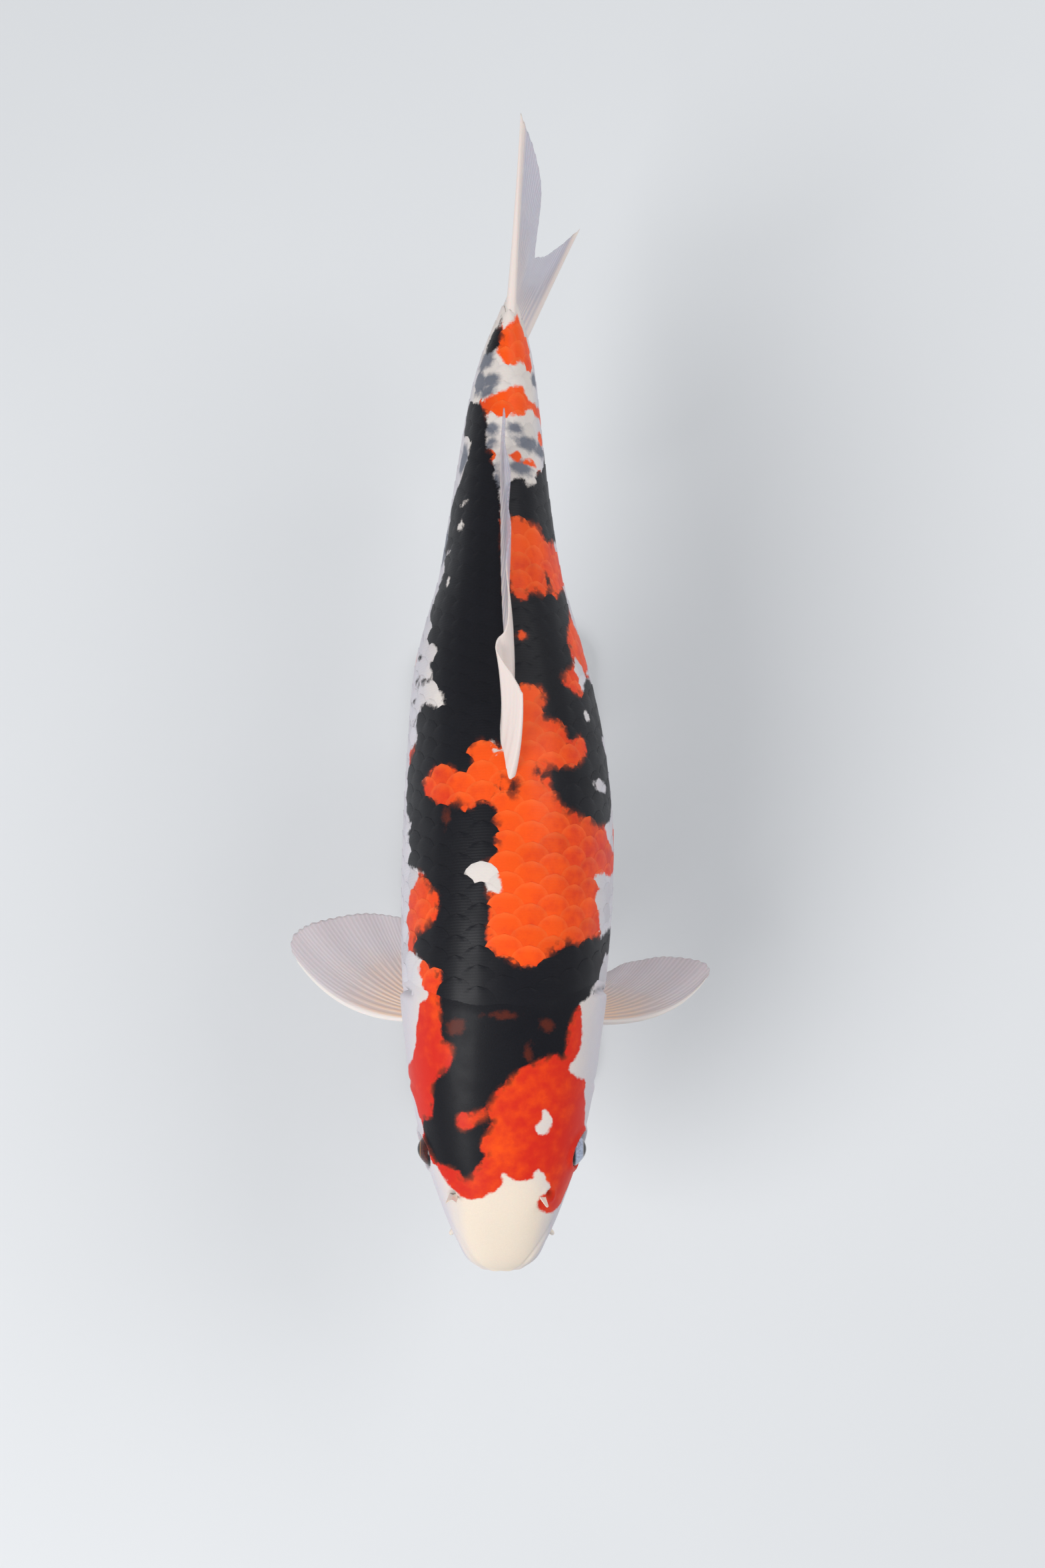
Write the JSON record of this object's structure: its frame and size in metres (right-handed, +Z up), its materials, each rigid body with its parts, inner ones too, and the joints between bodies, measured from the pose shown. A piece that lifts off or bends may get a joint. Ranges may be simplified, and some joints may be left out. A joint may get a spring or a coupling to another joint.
{
  "type": "koi carp model on a display stand",
  "caption": "Life-size still model of a black, red and white koi carp, swimming, on a flat base with two short rods.",
  "frame": {"origin": "centre of the underside of the stand's base, on the floor", "axes": "+Z up, +Y from the fish's head to its tail, so the fish faces -Y; +X is the fish's left side"},
  "size_m": [0.2392, 0.6203, 0.2705],
  "materials": {
    "skin": "wet, scaled skin, white with red-orange and black patches",
    "fin": "thin milky membrane over fine rays",
    "eye": "clear wet cornea over a dark pupil",
    "stand_paint": "matt grey paint",
    "stand_steel": "brushed"
  },
  "bodies": {
    "root": {"head": "skin", "lower_jaw": "skin", "gill_cover_right": "skin", "gill_cover_left": "skin", "trunk_front": "skin", "trunk_rear": "skin", "tail_stem": "skin", "lip_barbel_right": "skin", "lip_barbel_left": "skin", "corner_barbel_right": "skin", "corner_barbel_left": "skin", "nostril_flap_right": "skin", "nostril_flap_left": "skin", "dorsal_fin": "fin", "anal_fin": "fin", "pelvic_fin_right": "fin", "pelvic_fin_left": "fin", "pectoral_fin_right": "fin", "pectoral_fin_left": "fin", "tail_fin_upper": "fin", "tail_fin_lower": "fin", "eye_right": "eye", "eye_left": "eye", "stand_base": "stand_paint", "stand_foot_front": "stand_steel", "stand_foot_rear": "stand_steel", "stand_rod_front": "stand_steel", "stand_rod_rear": "stand_steel"}
  },
  "joints": []
}
